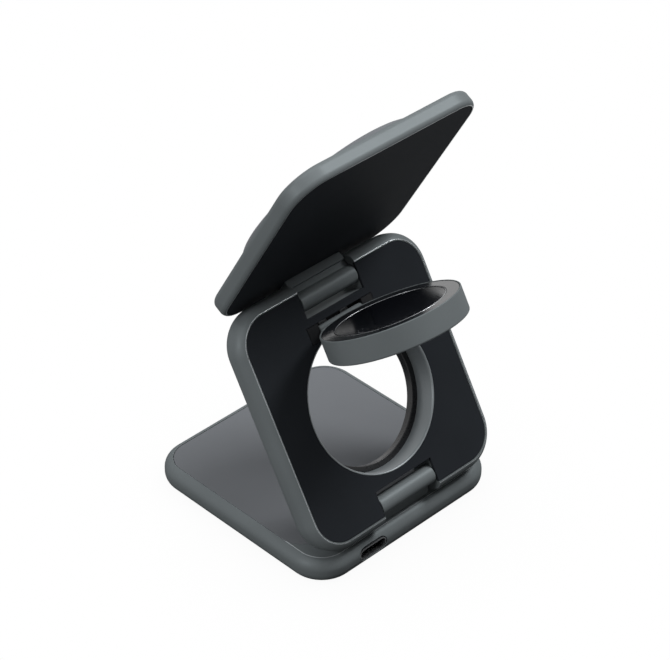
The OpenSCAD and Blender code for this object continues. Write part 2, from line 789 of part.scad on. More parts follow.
module watch_shell() {
    edge = 0.5;
    lip = 0.2;
    rotate_extrude() difference() {
        polygon([[0, 0], [watch_r - edge, 0], [watch_r, edge], [watch_r, watch_t - lip],
            [watch_r - lip, watch_t], [0, watch_t]]);
        translate([0, -over]) square([cap_r + seam, cap_t + over]);
        translate([0, board_z]) square([watch_r - watch_wall, watch_t]);
        translate([0, bezel_z]) square([bezel_r + seam / 2, watch_t]);
    }
}

module watch_housing() {
    color(gunmetal) difference() {
        union() {
            in_watch() watch_shell();
            on_watch() {
                cross_bar(lug_r, lug_w);
                translate([-lug_w / 2, 0, -lug_r])
                    cube([lug_w, watch_reach - watch_r + 1, lug_r + watch_top - 2 * rim_w]);
            }
        }
        in_watch() translate([0, 0, board_z]) cylinder(h = bezel_z - board_z, r = watch_r - watch_wall);
        in_watch() translate([0, 0, bezel_z]) cylinder(h = watch_t, r = bezel_r + seam / 2);
        on_watch() cross_bar(small_pin_r + running_gap, lug_w + over);
    }
}

module watch_bezel() {
    color(black) in_watch() translate([0, 0, bezel_z]) tube(bezel_r, dish_r + trim_w + seam / 2, bezel_t);
}

module watch_trim() {
    color(steel) in_watch() translate([0, 0, dish_low]) tube(dish_r + trim_w, dish_r + seam / 2, watch_t - bezel_sink - dish_low);
}

module watch_dish() {
    sphere_r = (dish_r * dish_r + dish_depth * dish_depth) / (2 * dish_depth);
    color([0.03, 0.03, 0.05]) in_watch() translate([0, 0, dish_low]) rotate_extrude() difference() {
        square([dish_r, dish_edge - dish_low]);
        translate([0, dish_edge - dish_low - dish_depth + sphere_r]) circle(sphere_r, $fn = 1440);
    }
}

module watch_coil() {
    color(copper) in_watch() translate([0, 0, dish_low - coil_t])
        tube(watch_coil_r, watch_magnet_r + 1, coil_t);
}

module watch_ferrite() {
    color(black) in_watch() translate([0, 0, dish_low - coil_t - ferrite_t])
        tube(watch_coil_r + 1, watch_magnet_r + 0.5, ferrite_t);
}

module watch_magnet() {
    color(steel) in_watch() translate([0, 0, magnet_z]) cylinder(h = dish_low - magnet_z, r = watch_magnet_r);
}

module watch_board() {
    color(board_green) in_watch() translate([0, 0, board_z])
        cylinder(h = board_t, r = watch_r - watch_wall - 2 * cover_gap);
}

module watch_cap() {
    color(black) in_watch() cylinder(h = cap_t, r = cap_r);
}

base_housing();
base_pad();
base_cover();
foot_pad();
earbud_coil();
earbud_ferrite();
base_board();
usb_c_shell();
usb_c_tongue();
base_knuckle();
knuckle_screws();
cover_screws();
arm_frame();
arm_back_panel();
bore_ring();
seat_lip();
arm_flex();
base_hinge_pin();
phone_hinge_pin();
watch_bracket();
bracket_screws();
watch_hinge_pin();
phone_frame();
phone_back_panel();
phone_pad();
phone_magnets();
phone_coil();
phone_ferrite();
phone_board();
phone_knuckle();
phone_knuckle_screws();
watch_housing();
watch_bezel();
watch_trim();
watch_dish();
watch_coil();
watch_ferrite();
watch_magnet();
watch_board();
watch_cap();
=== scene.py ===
"""A folding charging stand: its shells, pads and finishes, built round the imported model.

Each operator models one group of pieces and is listed in the sidebar of the 3D view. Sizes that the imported
model already holds are read from it, so the pieces follow it; the rest are in the property groups below.
"""

import json
import math

import bmesh
import bpy
from bpy.props import FloatProperty, FloatVectorProperty, IntProperty, PointerProperty
from mathutils import Matrix, Vector


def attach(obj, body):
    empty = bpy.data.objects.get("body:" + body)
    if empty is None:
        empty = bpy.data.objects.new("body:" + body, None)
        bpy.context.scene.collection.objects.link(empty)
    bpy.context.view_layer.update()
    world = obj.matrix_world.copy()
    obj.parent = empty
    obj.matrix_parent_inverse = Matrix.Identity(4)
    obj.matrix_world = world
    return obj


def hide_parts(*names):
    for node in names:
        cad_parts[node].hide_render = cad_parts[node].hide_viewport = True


bl_info = {
    "name": "Folding Charging Stand",
    "version": (1, 0, 0),
    "blender": (4, 5, 0),
    "location": "3D View > Sidebar > Charging Stand",
    "description": "Models and dresses a folding charging stand for a phone, a watch and earbuds",
    "category": "Add Mesh",
}

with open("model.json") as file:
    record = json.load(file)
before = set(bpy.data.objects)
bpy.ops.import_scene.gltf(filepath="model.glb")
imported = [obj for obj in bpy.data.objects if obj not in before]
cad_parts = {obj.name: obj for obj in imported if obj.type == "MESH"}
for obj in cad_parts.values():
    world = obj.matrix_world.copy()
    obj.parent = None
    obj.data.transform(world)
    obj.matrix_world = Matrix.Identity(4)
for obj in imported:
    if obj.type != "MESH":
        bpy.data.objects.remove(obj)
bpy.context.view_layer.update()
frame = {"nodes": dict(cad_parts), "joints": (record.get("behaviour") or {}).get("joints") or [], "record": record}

MM = 0.001
QUARTER = math.pi / 2

# Distances in metres
EPS = 0.00002   # points closer than this count as level
MERGE = 1e-6    # points closer than this are merged
SAME = 1e-7     # points closer than this are one and the same
PAST = MM       # how far a cutter or a joined piece reaches past the face that it meets

# Faces round the small parts and across the small roundings
BARREL_STEPS = 96
PIN_STEPS = 48
POST_STEPS = 32
DISH_STEPS = 40
PAD_STEPS = 12
BEAD_STEPS = 8
EDGE_STEPS = 6
RIM_STEPS = 5
BREAK_STEPS = 4
SMOOTH_BELOW = math.radians(38)   # faces that meet at less than this angle are shaded smooth


# Places of the moving bodies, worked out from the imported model's hinges

def hinge(name):
    """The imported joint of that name."""
    return next(j for j in frame["joints"] if j["name"] == name)


BASE_HINGE = Vector(hinge("base_fold")["pos_m"])
PHONE_HINGE = Vector(hinge("phone_fold")["pos_m"])
WATCH_HINGE = Vector(hinge("watch_flip")["pos_m"])
ARM_LEAN = math.atan2(BASE_HINGE.y - PHONE_HINGE.y, PHONE_HINGE.z - BASE_HINGE.z)
PHONE_LEAN = math.pi + math.radians(hinge("phone_fold")["range_deg"][0]) - ARM_LEAN

BASE = Matrix.Identity(4)
ARM = Matrix.Translation(BASE_HINGE) @ Matrix.Rotation(ARM_LEAN, 4, "X")
PHONE = Matrix.Translation(PHONE_HINGE) @ Matrix.Rotation(-PHONE_LEAN, 4, "X")
WATCH = Matrix.Translation(WATCH_HINGE) @ Matrix.Rotation(ARM_LEAN, 4, "X")


class Box:
    """A CAD node's lowest and highest corner, measured along the axes of one place."""

    def __init__(self, name, place=BASE):
        back = place.inverted()
        points = [back @ v.co for v in frame["nodes"][name].data.vertices]
        self.low = Vector([min(p[i] for p in points) for i in range(3)])
        self.high = Vector([max(p[i] for p in points) for i in range(3)])
        self.size = self.high - self.low
        self.mid = (self.high + self.low) / 2


def face_plane(name, place):
    """A plate's back plane: X across, Y up the plate and Z into it."""
    back = Box(name, place).high.y
    return place @ Matrix.Translation((0, back, 0)) @ Matrix.Rotation(QUARTER, 4, "X")


ARM_FACE = face_plane("arm_frame", ARM)
PHONE_FACE = face_plane("phone_frame", PHONE)
CAP = Box("watch_cap", WATCH)
DISC = WATCH @ Matrix.Translation((0, CAP.mid.y, CAP.low.z))   # on the charger's axis, level with its cap


def linear(code):
    """An sRGB hex colour as linear red, green and blue."""
    parts = [int(code[i:i + 2], 16) / 255 for i in (1, 3, 5)]
    return [c / 12.92 if c <= 0.04045 else ((c + 0.055) / 1.055) ** 2.4 for c in parts]


def length(name, description, default_mm, low, high):
    """A length in millimetres as a property in Blender's own unit."""
    return FloatProperty(name=name, description=description, default=default_mm * MM, min=low * MM,
                         max=high * MM, unit="LENGTH", precision=5)


def colour(name, description, code):
    """A colour property with an sRGB hex default."""
    return FloatVectorProperty(name=name, description=description, default=linear(code), min=0, max=1,
                               size=3, subtype="COLOR")


def lamp_power(name, description, watts):
    """A lamp's power as a property."""
    return FloatProperty(name=name, description=description, default=watts, min=0, max=100, unit="POWER")


class StandSizes(bpy.types.PropertyGroup):
    """Radii, walls and edge sizes of the stand's pieces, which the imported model's boxes don't give."""
    edge_break: length("Edge break", "Bevel on the machined edges of the metal parts", 0.2, 0.05, 0.5)
    # Painted highlight: the width of the bright band that stands in for the light caught along the flat rims
    highlight_band: length("Edge line", "Width of the bright line cut along the flat rims", 0.2, 0.05, 0.25)
    panel_break: length("Panel edge", "Bevel round each inset panel and pad", 0.14, 0.05, 0.4)
    lip_break: length("Socket edge", "Bevel round the mouth of the charging socket", 0.25, 0.05, 0.5)
    seam: length("Seam", "Gap round each inset panel and pad", 0.12, 0.05, 0.3)
    base_corner: length("Base corner", "Corner radius of the base", 9.2, 2, 20)
    base_low_round: length("Base lower rounding", "Radius round the lower edge of the base", 3.0, 0.5, 3.2)
    base_top_round: length("Base upper rounding", "Radius round the upper edge of the base", 3.0, 0.5, 3.2)
    base_top_cut: length("Base top cut", "How much of the upper rounding the flat top cuts away", 0.1, 0, 1)
    base_wall: length("Base wall", "Wall round the inside of the base", 3.0, 1, 5)
    bud_corner: length("Earbud pad corner", "Corner radius of the earbud pad", 6.8, 1, 12)
    foot_corner: length("Foot corner", "Corner radius of the rubber foot", 7.0, 1, 12)
    arm_corner: length("Arm corner", "Corner radius of the arm", 9.9, 4, 16)
    arm_back_round: length("Arm back rounding", "Radius of the arm's sides towards its back", 3.0, 1, 4)
    arm_back_cut: length("Arm back cut", "How much of that rounding the flat back cuts away", 0.32, 0, 1)
    arm_front_round: length("Arm front rounding", "Radius of the arm's sides towards its front", 4.2, 1, 4.5)
    phone_corner: length("Phone panel corner", "Corner radius of the phone panel", 9.1, 4, 16)
    phone_back_round: length("Phone back rounding", "Radius of the panel's sides near its back", 1.5, 0.5, 2)
    phone_back_cut: length("Phone back cut", "How much of that rounding the flat back cuts away", 0.2, 0, 0.6)
    phone_front_round: length("Phone front rounding", "Radius of the phone panel's front edge", 1.4, 0.5, 2)
    phone_wall: length("Phone panel wall", "Wall round the inside of the phone panel", 2.4, 1, 4)
    phone_front_wall: length("Phone front wall", "Front wall of the phone panel", 1.0, 0.5, 2)
    pad_round: length("Phone pad rounding", "Radius round the edge of the raised pad", 1.7, 0.5, 2)
    pad_overhang: length("Pad overhang", "How far the raised pad stands out past its spigot", 1.4, 0.5, 3)
    pad_skin: length("Phone pad skin", "Thickness of the raised pad's skin", 0.8, 0.4, 1.5)
    notch_depth: length("Notch depth", "Depth of the notches in the ends of the arm", 8.65, 5, 12)
    notch_gap: length("Notch gap", "Gap at each side of a hinge barrel", 0.3, 0.1, 0.6)
    barrel_radius: length("Barrel radius", "Radius of the two hinge barrels", 2.45, 1.5, 3)
    web: length("Web", "Thickness of the web that carries the base's barrel", 2.4, 1, 4)
    foot_block_height: length("Foot block height", "Height of the block on the phone panel's back", 2.2, 1, 4)
    foot_block_depth: length("Foot block depth", "Depth of that block up the panel", 4.24, 2, 8)
    tenon_width: length("Tenon width", "Width of the tenon through the phone panel's back", 16.0, 8, 18)
    tenon_height: length("Tenon height", "Depth of that tenon up the panel", 1.7, 1, 3)
    neck_depth: length("Neck depth", "Depth of the web that carries the phone panel's barrel", 3.6, 2, 6)
    post_radius: length("Post radius", "Radius of the two screw posts in the phone panel", 2.0, 1, 3)
    post_across: length("Post place across", "How far each screw post lies from the middle", 13.1, 11, 20)
    post_up: length("Post place up", "How far up the panel the screw posts lie from its hinge", 1.8, 1, 5)
    flange_thickness: length("Flange", "Thickness of the flange inside the phone panel", 1.4, 0.8, 2)
    anchor_width: length("Anchor width", "Width of the foot that anchors the base's knuckle", 15.0, 10, 18)
    anchor_thickness: length("Anchor thickness", "Thickness of that foot", 1.5, 0.8, 2.5)
    lug_width: length("Lug width", "Width of the lug that carries the watch charger", 14.0, 6, 16)
    lug_radius: length("Lug radius", "Radius of the lug's round end", 1.3, 0.8, 2)
    lug_depth: length("Lug slot depth", "Depth of the lug's slot in the arm's back", 3.0, 1, 5)
    cable_width: length("Cable width", "Width of the flat cable's channel under the panel", 3.0, 1, 5)
    ring_wall: length("Ring wall", "Wall of the metal ring in the arm's hole", 0.5, 0.2, 1)
    ring_flare: length("Ring flare", "How far the ring's rear edge flares out", 0.45, 0, 0.5)
    ring_flare_depth: length("Ring flare depth", "Depth of that flare", 0.65, 0.1, 2)
    seat_width: length("Seat width", "How far the lip reaches in under the watch charger", 0.4, 0.1, 1)
    dish_hollow: length("Dish hollow", "Depth of the hollow in the watch dish", 0.9, 0.2, 1.5)
    disc_edge: length("Charger edge", "Rounding of the watch charger's lower edge", 0.5, 0.1, 1)
    disc_lip: length("Charger lip", "Rounding of the watch charger's bright upper rim", 0.2, 0.05, 0.4)
    disc_wall: length("Charger wall", "Wall of the watch charger's housing", 1.3, 0.8, 2)
    corner_steps: IntProperty(name="Corner steps", description="Faces round each corner of a plate",
                              default=24, min=6, max=48)
    round_steps: IntProperty(name="Round steps", description="Faces across each rounded edge",
                             default=10, min=2, max=16)
    turn_steps: IntProperty(name="Turned steps", description="Faces round each turned part",
                            default=180, min=32, max=256)


class StandColours(bpy.types.PropertyGroup):
    """Colours of the stand's finishes."""
    metal: colour("Metal", "Gunmetal anodising of the frames", "#6e7476")
    ring: colour("Ring", "Grey of the turned ring in the arm's hole", "#7b8184")
    dark_ring: colour("Dark ring", "Near black of the watch charger's ring", "#15171a")
    # Painted highlight: the bright colour of the band along the flat rims
    edge: colour("Cut edge", "Bare metal of the thin cut edges", "#b4babd")
    pad: colour("Pads", "Grey of the earbud and phone pads", "#66696d")
    panel: colour("Back panels", "Black of the inset back panels", "#2b2e32")
    dish: colour("Dish", "Gloss black of the watch dish", "#06070b")
    trim: colour("Dark trim", "Matt black of the small trim", "#18191b")
    rubber: colour("Rubber foot", "Black of the foot under the base", "#1d1e1f")


class StageSettings(bpy.types.PropertyGroup):
    """Light and floor of the product shot."""
    top_power: lamp_power("Top light", "Power of the large soft light overhead", 3.6)
    side_power: lamp_power("Side light", "Power of the light at the side that shows on the left", 3.8)
    high_power: lamp_power("High light", "Power of the light high on the other side", 5.6)
    world_level: FloatProperty(name="World level", description="Strength of the even light all round",
                               default=0.1, min=0, max=2)
    floor_shadow: FloatProperty(name="Floor shadow", default=0.03, min=0, max=1,
                                description="How much the floor darkens close to the stand")


def sizes():
    """The stand's sizes, as set in the scene."""
    return bpy.context.scene.stand_sizes


def colours():
    """The finishes' colours, as set in the scene."""
    return bpy.context.scene.stand_colours


# Modelling steps

def fresh():
    """Leaves edit mode and deselects everything, ready for a new primitive."""
    if bpy.context.mode != "OBJECT":
        bpy.ops.object.mode_set(mode="OBJECT")
    bpy.ops.object.select_all(action="DESELECT")


def only(obj):
    """Selects one object and makes it active."""
    fresh()
    obj.select_set(True)
    bpy.context.view_layer.objects.active = obj
    return obj


def apply_to(obj, place):
    """Moves an object to a place, which becomes part of its mesh."""
    only(obj).matrix_world = place
    bpy.ops.object.transform_apply(location=True, rotation=True, scale=True)
    return obj


def shift(obj, y, z=0):
    """Moves an object's mesh along Y and Z."""
    obj.data.transform(Matrix.Translation((0, y, z)))


def named(name):
    """The primitive added last, under a name, with its place and size made part of its mesh."""
    bpy.ops.object.transform_apply(location=True, rotation=True, scale=True)
    bpy.context.object.name = name
    return bpy.context.object


def pick(kind, test):
    """Selects the active mesh's vertices, edges or faces that pass a test, and says how many."""
    bpy.ops.mesh.select_mode(type=kind)
    bpy.ops.mesh.select_all(action="DESELECT")
    mesh = bpy.context.object.data
    work = bmesh.from_edit_mesh(mesh)
    items = {"VERT": work.verts, "EDGE": work.edges, "FACE": work.faces}[kind]
    found = [i for i in items if test(i)]
    for i in found:
        i.select_set(True)
    work.select_flush_mode()
    bmesh.update_edit_mesh(mesh)
    return len(found)


def level(item, height):
    """True if an edge or face lies level at a height."""
    return all(abs(v.co.z - height) < EPS for v in item.verts)


def bevel(width, segments, clamp=False):
    """Bevels the selected edges."""
    bpy.ops.mesh.bevel(offset=width, segments=segments, profile=0.5, affect="EDGES", clamp_overlap=clamp)


def bevel_edges(obj, test, width, segments=3):
    """Bevels the edges that pass a test."""
    only(obj)
    bpy.ops.object.mode_set(mode="EDIT")
    if pick("EDGE", test) == 0:
        raise RuntimeError(f"no edge of {obj.name} to bevel")
    bevel(width, segments, clamp=True)
    bpy.ops.object.mode_set(mode="OBJECT")
    return obj


def highlight_band(obj, height, width):
    """Sets off a thin band along the edge of a plate's flat face, on the second material slot, where a bright
    colour paints the highlight along the rim.
    """
    only(obj)
    for _ in range(2):
        obj.data.materials.append(None)
    bpy.ops.object.mode_set(mode="EDIT")
    pick("FACE", lambda f: level(f, height))
    obj.active_material_index = 1
    bpy.ops.object.material_slot_assign()
    bpy.ops.mesh.inset(thickness=width, depth=0)
    obj.active_material_index = 0
    bpy.ops.object.material_slot_assign()
    bpy.ops.object.mode_set(mode="OBJECT")


def block(name, low, high):
    """A box between two corners."""
    fresh()
    low, high = Vector(low), Vector(high)
    bpy.ops.mesh.primitive_cube_add(size=1, location=(low + high) / 2, scale=high - low)
    return named(name)


def drum(name, radius, low, high, centre, along, steps):
    """A cylinder along Z, or along X with its centre given as (y, z)."""
    fresh()
    mid = (low + high) / 2
    place = (mid, *centre) if along == "X" else (*centre, mid)
    turn = (0, QUARTER, 0) if along == "X" else (0, 0, 0)
    bpy.ops.mesh.primitive_cylinder_add(vertices=steps, radius=radius, depth=high - low, location=place,
                                        rotation=turn)
    return named(name)


def plate(name, low, high, corner, round_low=0.0, round_high=0.0, cut_low=0.0, cut_high=0.0):
    """A plate in XY with rounded corners. Its edges are rounded below and above, and a flat face can cut off
    part of either rounding, which leaves a crisp edge there."""
    low, high = Vector(low), Vector(high)
    full_low, full_high = low.z - cut_low, high.z + cut_high
    obj = only(block(name, (low.x, low.y, full_low), (high.x, high.y, full_high)))
    bpy.ops.object.mode_set(mode="EDIT")
    pick("EDGE", lambda e: abs(e.verts[0].co.z - e.verts[1].co.z) > EPS)
    bevel(corner, sizes().corner_steps)
    for height, width in ((full_low, round_low), (full_high, round_high)):
        if width > 0:
            pick("EDGE", lambda e: level(e, height))
            bevel(width, sizes().round_steps)
    for height, cut, up in ((low.z, cut_low, -1), (high.z, cut_high, 1)):
        if cut > 0:
            bpy.ops.mesh.select_all(action="SELECT")
            bpy.ops.mesh.bisect(plane_co=(0, 0, height), plane_no=(0, 0, up), use_fill=True,
                                clear_outer=True, threshold=SAME)
    bpy.ops.object.mode_set(mode="OBJECT")
    return obj


def slab(name, box, gap=0.0, corner=0.0, low=None, high=None):
    """A plate of a CAD node's outline, grown by a gap, between two heights."""
    low = box.low.z if low is None else low
    high = box.high.z if high is None else high
    return plate(name, (box.low.x - gap, box.low.y - gap, low), (box.high.x + gap, box.high.y + gap, high),
                 corner + gap)


def cut_box(obj, low, high):
    """Cuts a box out of an object."""
    return combine(obj, block("cutter", low, high))


def combine(obj, other, operation="DIFFERENCE"):
    """Cuts another object out of this one, or joins it on, and removes it."""
    only(obj)
    bpy.ops.object.modifier_add(type="BOOLEAN")
    step = obj.modifiers[-1]
    step.operation, step.object, step.solver = operation, other, "EXACT"
    bpy.ops.object.modifier_apply(modifier=step.name)
    bpy.data.objects.remove(other)
    return obj


def drill(obj, radius, low, high, centre=(0, 0), along="Z", steps=None):
    """Cuts a cylinder out of an object."""
    return combine(obj, drum("drill", radius, low, high, centre, along, steps or sizes().turn_steps))


def join(obj, other):
    """Joins another object on and removes it."""
    return combine(obj, other, "UNION")


def turned(name, profile, closed=True, steps=None):
    """A part turned on the Z axis from a profile of (radius, height) points, drawn from a single vertex."""
    fresh()
    bpy.ops.mesh.primitive_plane_add(size=MM, location=(0, 0, 0))
    obj = bpy.context.object
    obj.name = name
    bpy.ops.object.mode_set(mode="EDIT")
    bpy.ops.mesh.select_mode(type="VERT")
    bpy.ops.mesh.select_all(action="SELECT")
    bpy.ops.mesh.merge(type="CENTER")
    bpy.ops.mesh.select_all(action="SELECT")
    start = at = Vector((profile[0][0], 0, profile[0][1]))
    bpy.ops.transform.translate(value=start)
    for radius, height in profile[1:]:
        to = Vector((radius, 0, height))
        bpy.ops.mesh.extrude_vertices_move(TRANSFORM_OT_translate={"value": to - at})
        at = to
    if closed:
        pick("VERT", lambda v: min((v.co - end).length for end in (start, at)) < SAME)
        bpy.ops.mesh.edge_face_add()
    bpy.ops.mesh.select_all(action="SELECT")
    bpy.ops.mesh.spin(steps=steps or sizes().turn_steps, angle=2 * math.pi, center=(0, 0, 0), axis=(0, 0, 1))
    bpy.ops.mesh.select_all(action="SELECT")
    bpy.ops.mesh.remove_doubles(threshold=MERGE)
    bpy.ops.mesh.normals_make_consistent(inside=False)
    bpy.ops.object.mode_set(mode="OBJECT")
    return obj


def arc(centre, radius, start, end, steps):
    """Points on an arc from one angle to another, in degrees."""
    turns = [math.radians(start + (end - start) * i / steps) for i in range(steps + 1)]
    return [(centre[0] + radius * math.cos(t), centre[1] + radius * math.sin(t)) for t in turns]


def hand_over(obj, place, body, slot, finishes, *nodes):
    """Puts a piece in its place, smooths and dresses it, and gives it to its body in place of some nodes."""
    apply_to(obj, place)
    bpy.ops.object.mode_set(mode="EDIT")
    bpy.ops.mesh.select_all(action="SELECT")
    bpy.ops.mesh.remove_doubles(threshold=MERGE)
    bpy.ops.mesh.normals_make_consistent(inside=False)
    if pick("EDGE", lambda e: len({f.material_index for f in e.link_faces}) > 1):
        bpy.ops.mesh.mark_sharp()
    bpy.ops.object.mode_set(mode="OBJECT")
    bpy.ops.object.shade_smooth_by_angle(angle=SMOOTH_BELOW)
    bpy.ops.object.modifier_add(type="WEIGHTED_NORMAL")
    obj.modifiers[-1].keep_sharp = True
    bpy.ops.object.modifier_apply(modifier=obj.modifiers[-1].name)
    slots = obj.data.materials   # kept and refilled, because clearing them would reset the faces' slots
    while len(slots) > len(finishes):
        slots.pop()
    while len(slots) < len(finishes):
        slots.append(None)
    for i, surface in enumerate(finishes):
        slots[i] = surface
    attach(obj, body)
    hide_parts(*nodes)


# Finishes

MOTTLE_SIZE = 14 * MM              # size of the broad mottling
NOISE_LOW, NOISE_HIGH = 0.3, 0.7   # where most values of a noise texture lie
GRAIN_HEIGHT = 0.25                # height of a grain, as a share of its size


def add(tree, kind, settings=None, links=None):
    """Adds a node, sets its properties and sockets, and links its sockets."""
    node = tree.nodes.new(kind)
    for key, value in (settings or {}).items():
        if isinstance(key, str) and hasattr(node, key):
            setattr(node, key, value)
        else:
            node.inputs[key].default_value = value
    for key, source in (links or {}).items():
        tree.links.new(source, node.inputs[key])
    return node


def empty_tree(owner):
    """The node tree of a material or world, cleared."""
    owner.use_nodes = True
    owner.node_tree.nodes.clear()
    return owner.node_tree


def remap(tree, source, low, high, new_low, new_high):
    """Maps one range of a value onto another."""
    ranges = {"From Min": low, "From Max": high, "To Min": new_low, "To Max": new_high}
    return add(tree, "ShaderNodeMapRange", ranges, {"Value": source}).outputs["Result"]


def finish(name, base, roughness, metallic=0.0, grain=0.3, bump=0.05, mottle=0.06, spread=0.05, shine=0.5):
    """A surface with a fine grain, in millimetres, that varies its colour, its roughness and its height.
    Shine is how strongly it mirrors: 0.5 is a plain plastic or varnish."""
    found = bpy.data.materials.get(name)
    if found:
        return found
    made = bpy.data.materials.new(name)
    tree = empty_tree(made)
    where = add(tree, "ShaderNodeTexCoord").outputs["Object"]
    fine = add(tree, "ShaderNodeTexNoise", {"Scale": 1 / (grain * MM), "Detail": 3.0, "Roughness": 0.6},
               {"Vector": where}).outputs["Fac"]
    broad = add(tree, "ShaderNodeTexNoise", {"Scale": 1 / MOTTLE_SIZE, "Detail": 2.0, "Roughness": 0.5},
                {"Vector": where}).outputs["Fac"]
    both = add(tree, "ShaderNodeMath", {"operation": "ADD"}, {0: fine, 1: broad}).outputs[0]
    shade = remap(tree, both, 2 * NOISE_LOW, 2 * NOISE_HIGH, 1 - mottle, 1 + mottle)
    tint = add(tree, "ShaderNodeVectorMath", {"operation": "SCALE", 0: base}, {"Scale": shade}).outputs[0]
    rough = remap(tree, fine, NOISE_LOW, NOISE_HIGH, roughness - spread, roughness + spread)
    height = add(tree, "ShaderNodeBump", {"Strength": bump, "Distance": grain * MM * GRAIN_HEIGHT},
                 {"Height": fine}).outputs["Normal"]
    shader = add(tree, "ShaderNodeBsdfPrincipled", {"Metallic": metallic, "Specular IOR Level": shine},
                 {"Base Color": tint, "Roughness": rough, "Normal": height})
    add(tree, "ShaderNodeOutputMaterial", None, {"Surface": shader.outputs["BSDF"]})
    return made


def anodised_metal():
    # Anodised aluminium, bead-blasted first: an even satin grey without a clear highlight. The blasting grit
    # is about 0.1 mm, drawn at 0.3 mm so that it shows.
    return finish("anodised_aluminium_gunmetal", colours().metal, roughness=0.42, metallic=0.1, grain=0.3,
                  bump=0.12, mottle=0.05, shine=0.0)


def turned_metal():
    # Anodised aluminium, turned: smoother and brighter than the blasted frames, with fine tool marks.
    return finish("anodised_aluminium_turned", colours().ring, roughness=0.35, metallic=0.2, grain=0.2,
                  mottle=0.03, shine=0.25)


def painted_rim_highlight():
    # Painted highlight: a thin band along a frame's rim, coloured much brighter than the anodising, that stands in
    # for the light caught on the edge.
    return finish("diamond_cut_aluminium_edge", colours().edge, roughness=0.35, metallic=0.3, grain=0.2,
                  bump=0.03, mottle=0.02, shine=0.3)


def satin_ring():
    # Dark anodised aluminium, spun to a satin: it mirrors its surroundings at a low angle.
    return finish("anodised_aluminium_satin_dark", colours().dark_ring, roughness=0.14, grain=0.2,
                  bump=0.02, mottle=0.03, shine=0.2)


def soft_touch_pad():
    # Soft-touch silicone, moulded: a dull grey skin that takes light without a clear highlight.
    return finish("soft_touch_silicone_grey", colours().pad, roughness=0.6, grain=0.35, bump=0.1,
                  mottle=0.03, shine=0.25)


def moulded_black():
    # ABS moulded against a spark-eroded steel: a deep black with a faint even grain.
    return finish("moulded_abs_black", colours().panel, roughness=0.62, grain=0.25, bump=0.15, mottle=0.08,
                  shine=0.01)


def black_trim():
    # Black nylon, moulded plain: dark, with little shine.
    return finish("moulded_nylon_black", colours().trim, roughness=0.5, grain=0.4, shine=0.15)


def polished_trim():
    # Black acetal, turned and polished: nearly black, with bright lines where its edges catch the light.
    return finish("polished_acetal_black", colours().trim, roughness=0.3, grain=0.6, bump=0.02, mottle=0.03,
                  shine=0.3)


def rubber():
    # Silicone rubber, pressed: matt and slightly dusty.
    return finish("pressed_silicone_rubber", colours().rubber, roughness=0.8, grain=0.5, bump=0.2,
                  mottle=0.1)


def gloss_dish():
    # Polished acrylic over black: clear reflections with hardly any colour of its own.
    return finish("polished_acrylic_black", colours().dish, roughness=0.16, grain=2.0, bump=0.0,
                  mottle=0.02, spread=0.01, shine=0.1)


def bright_metal():
    # Stainless steel, turned: a bright, slightly brushed shine.
    return finish("turned_stainless_steel", linear("#97999c"), roughness=0.28, metallic=1.0, grain=0.2)


def copper_wire():
    # Enamelled copper wire, wound: warm and glossy.
    return finish("enamelled_copper_wire", linear("#c07a4a"), roughness=0.3, metallic=0.9, grain=0.4,
                  bump=0.3)


def pressed_ferrite():
    # Ferrite, pressed and fired: dark grey and dull.
    return finish("sintered_ferrite", linear("#3a3a3c"), roughness=0.7, grain=0.3, bump=0.2)


def solder_mask():
    # Glass-fibre circuit board under green solder mask: half gloss.
    return finish("solder_mask_green", linear("#1c4a2e"), roughness=0.35, grain=1.2, bump=0.1, mottle=0.15)


def amber_film():
    # Polyimide film, laminated over copper: amber and slightly glossy.
    return finish("polyimide_film_amber", linear("#a9682a"), roughness=0.35, grain=0.8)


# Operators

